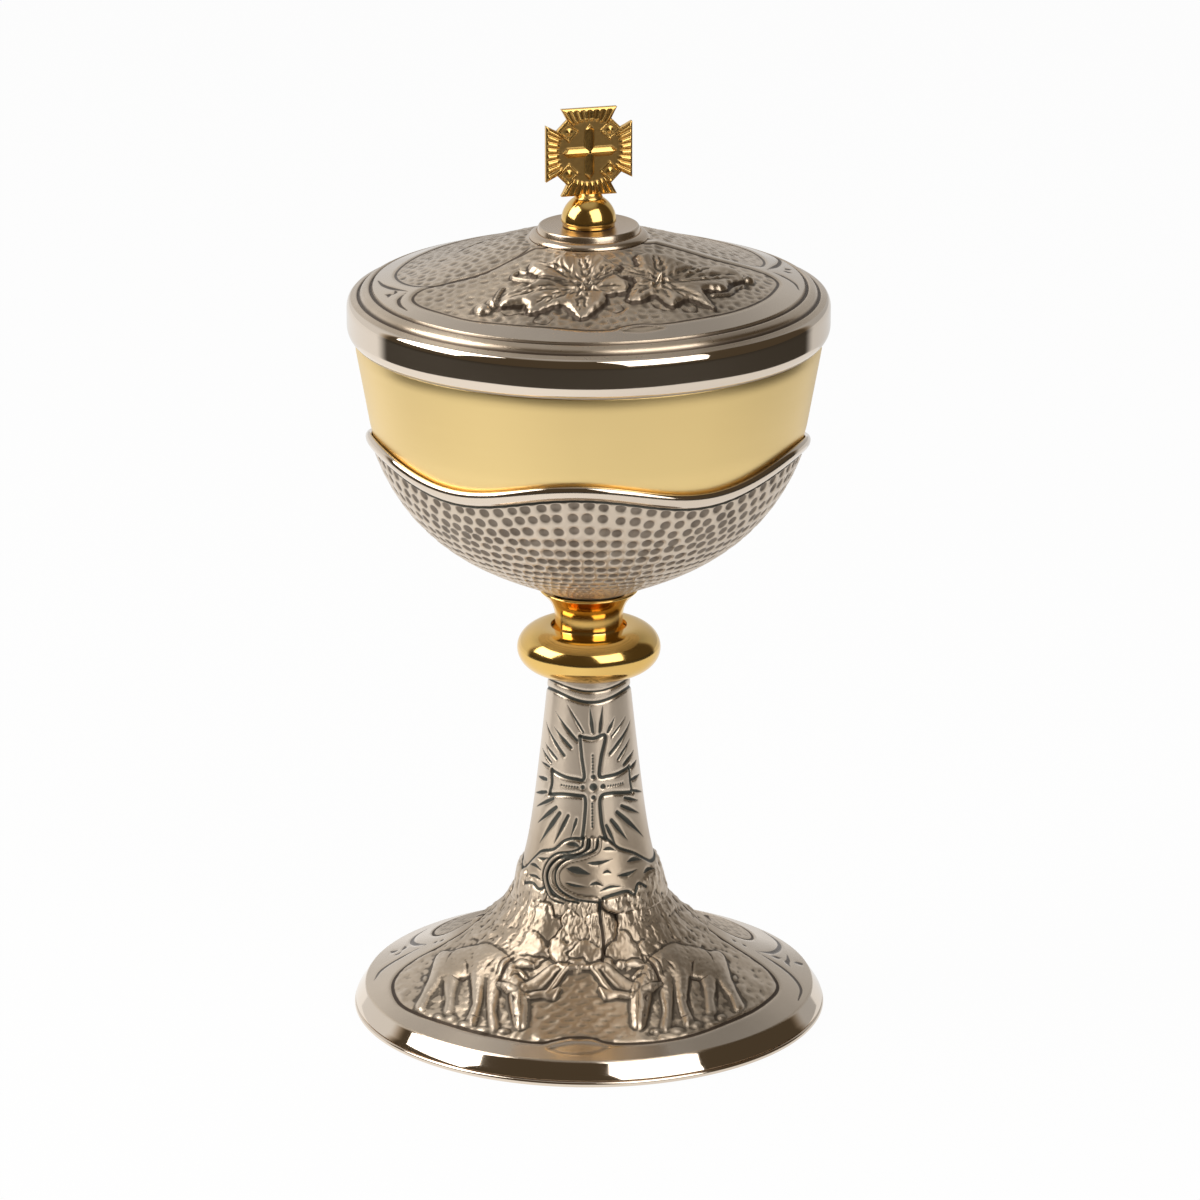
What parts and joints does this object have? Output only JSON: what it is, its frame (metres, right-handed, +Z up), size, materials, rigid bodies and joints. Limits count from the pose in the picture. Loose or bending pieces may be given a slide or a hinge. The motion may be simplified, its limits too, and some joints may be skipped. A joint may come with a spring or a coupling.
{
  "type": "lidded chalice",
  "caption": "Two-tone lidded chalice: gilt cup in a hammered silver holder on a gilt knop, silver stem and wide foot, with a lift-off domed lid topped by a gilt ball and cross.",
  "frame": {"origin": "centre of the foot's underside, on the surface that the chalice stands on", "axes": "+Z up along the axis of foot, stem and cup; -Y is the front, the side with the chased picture"},
  "size_m": [0.12, 0.12, 0.2348],
  "materials": {
    "antique_silver": "silver plate on brass, chased and hammered, dark in the recesses, satin on the high spots",
    "polished_silver": "silver plate on brass, bright polished",
    "satin_gold": "gold plate on brass, satin",
    "polished_gold": "gold plate on brass, bright polished",
    "antique_gold": "gold plate on a brass casting, dark in the recesses",
    "plain_brass": "turned brass",
    "plain_steel": "zinc-plated steel"
  },
  "bodies": {
    "cup": {"foot_ring": "polished_silver", "foot_shell": "antique_silver", "knop": "polished_gold", "neck_collar": "polished_gold", "calyx": "antique_silver", "cup_bowl": "satin_gold", "cup_boss": "plain_brass", "tie_rod": "plain_steel", "foot_washer": "plain_steel", "spring_washer": "plain_steel", "tie_nut": "plain_steel"},
    "lid": {"lid_shell": "antique_silver", "lid_skirt": "satin_gold", "lid_boss": "polished_silver", "finial_ball": "polished_gold", "finial_cross": "antique_gold", "finial_stud": "plain_steel", "finial_washer": "plain_steel", "finial_nut": "plain_steel"}
  },
  "joints": [
    {"name": "lid_lift", "type": "slide", "parent": "cup", "child": "lid", "axis": [0, 0, 1], "range_m": [0, 0.09]}
  ]
}
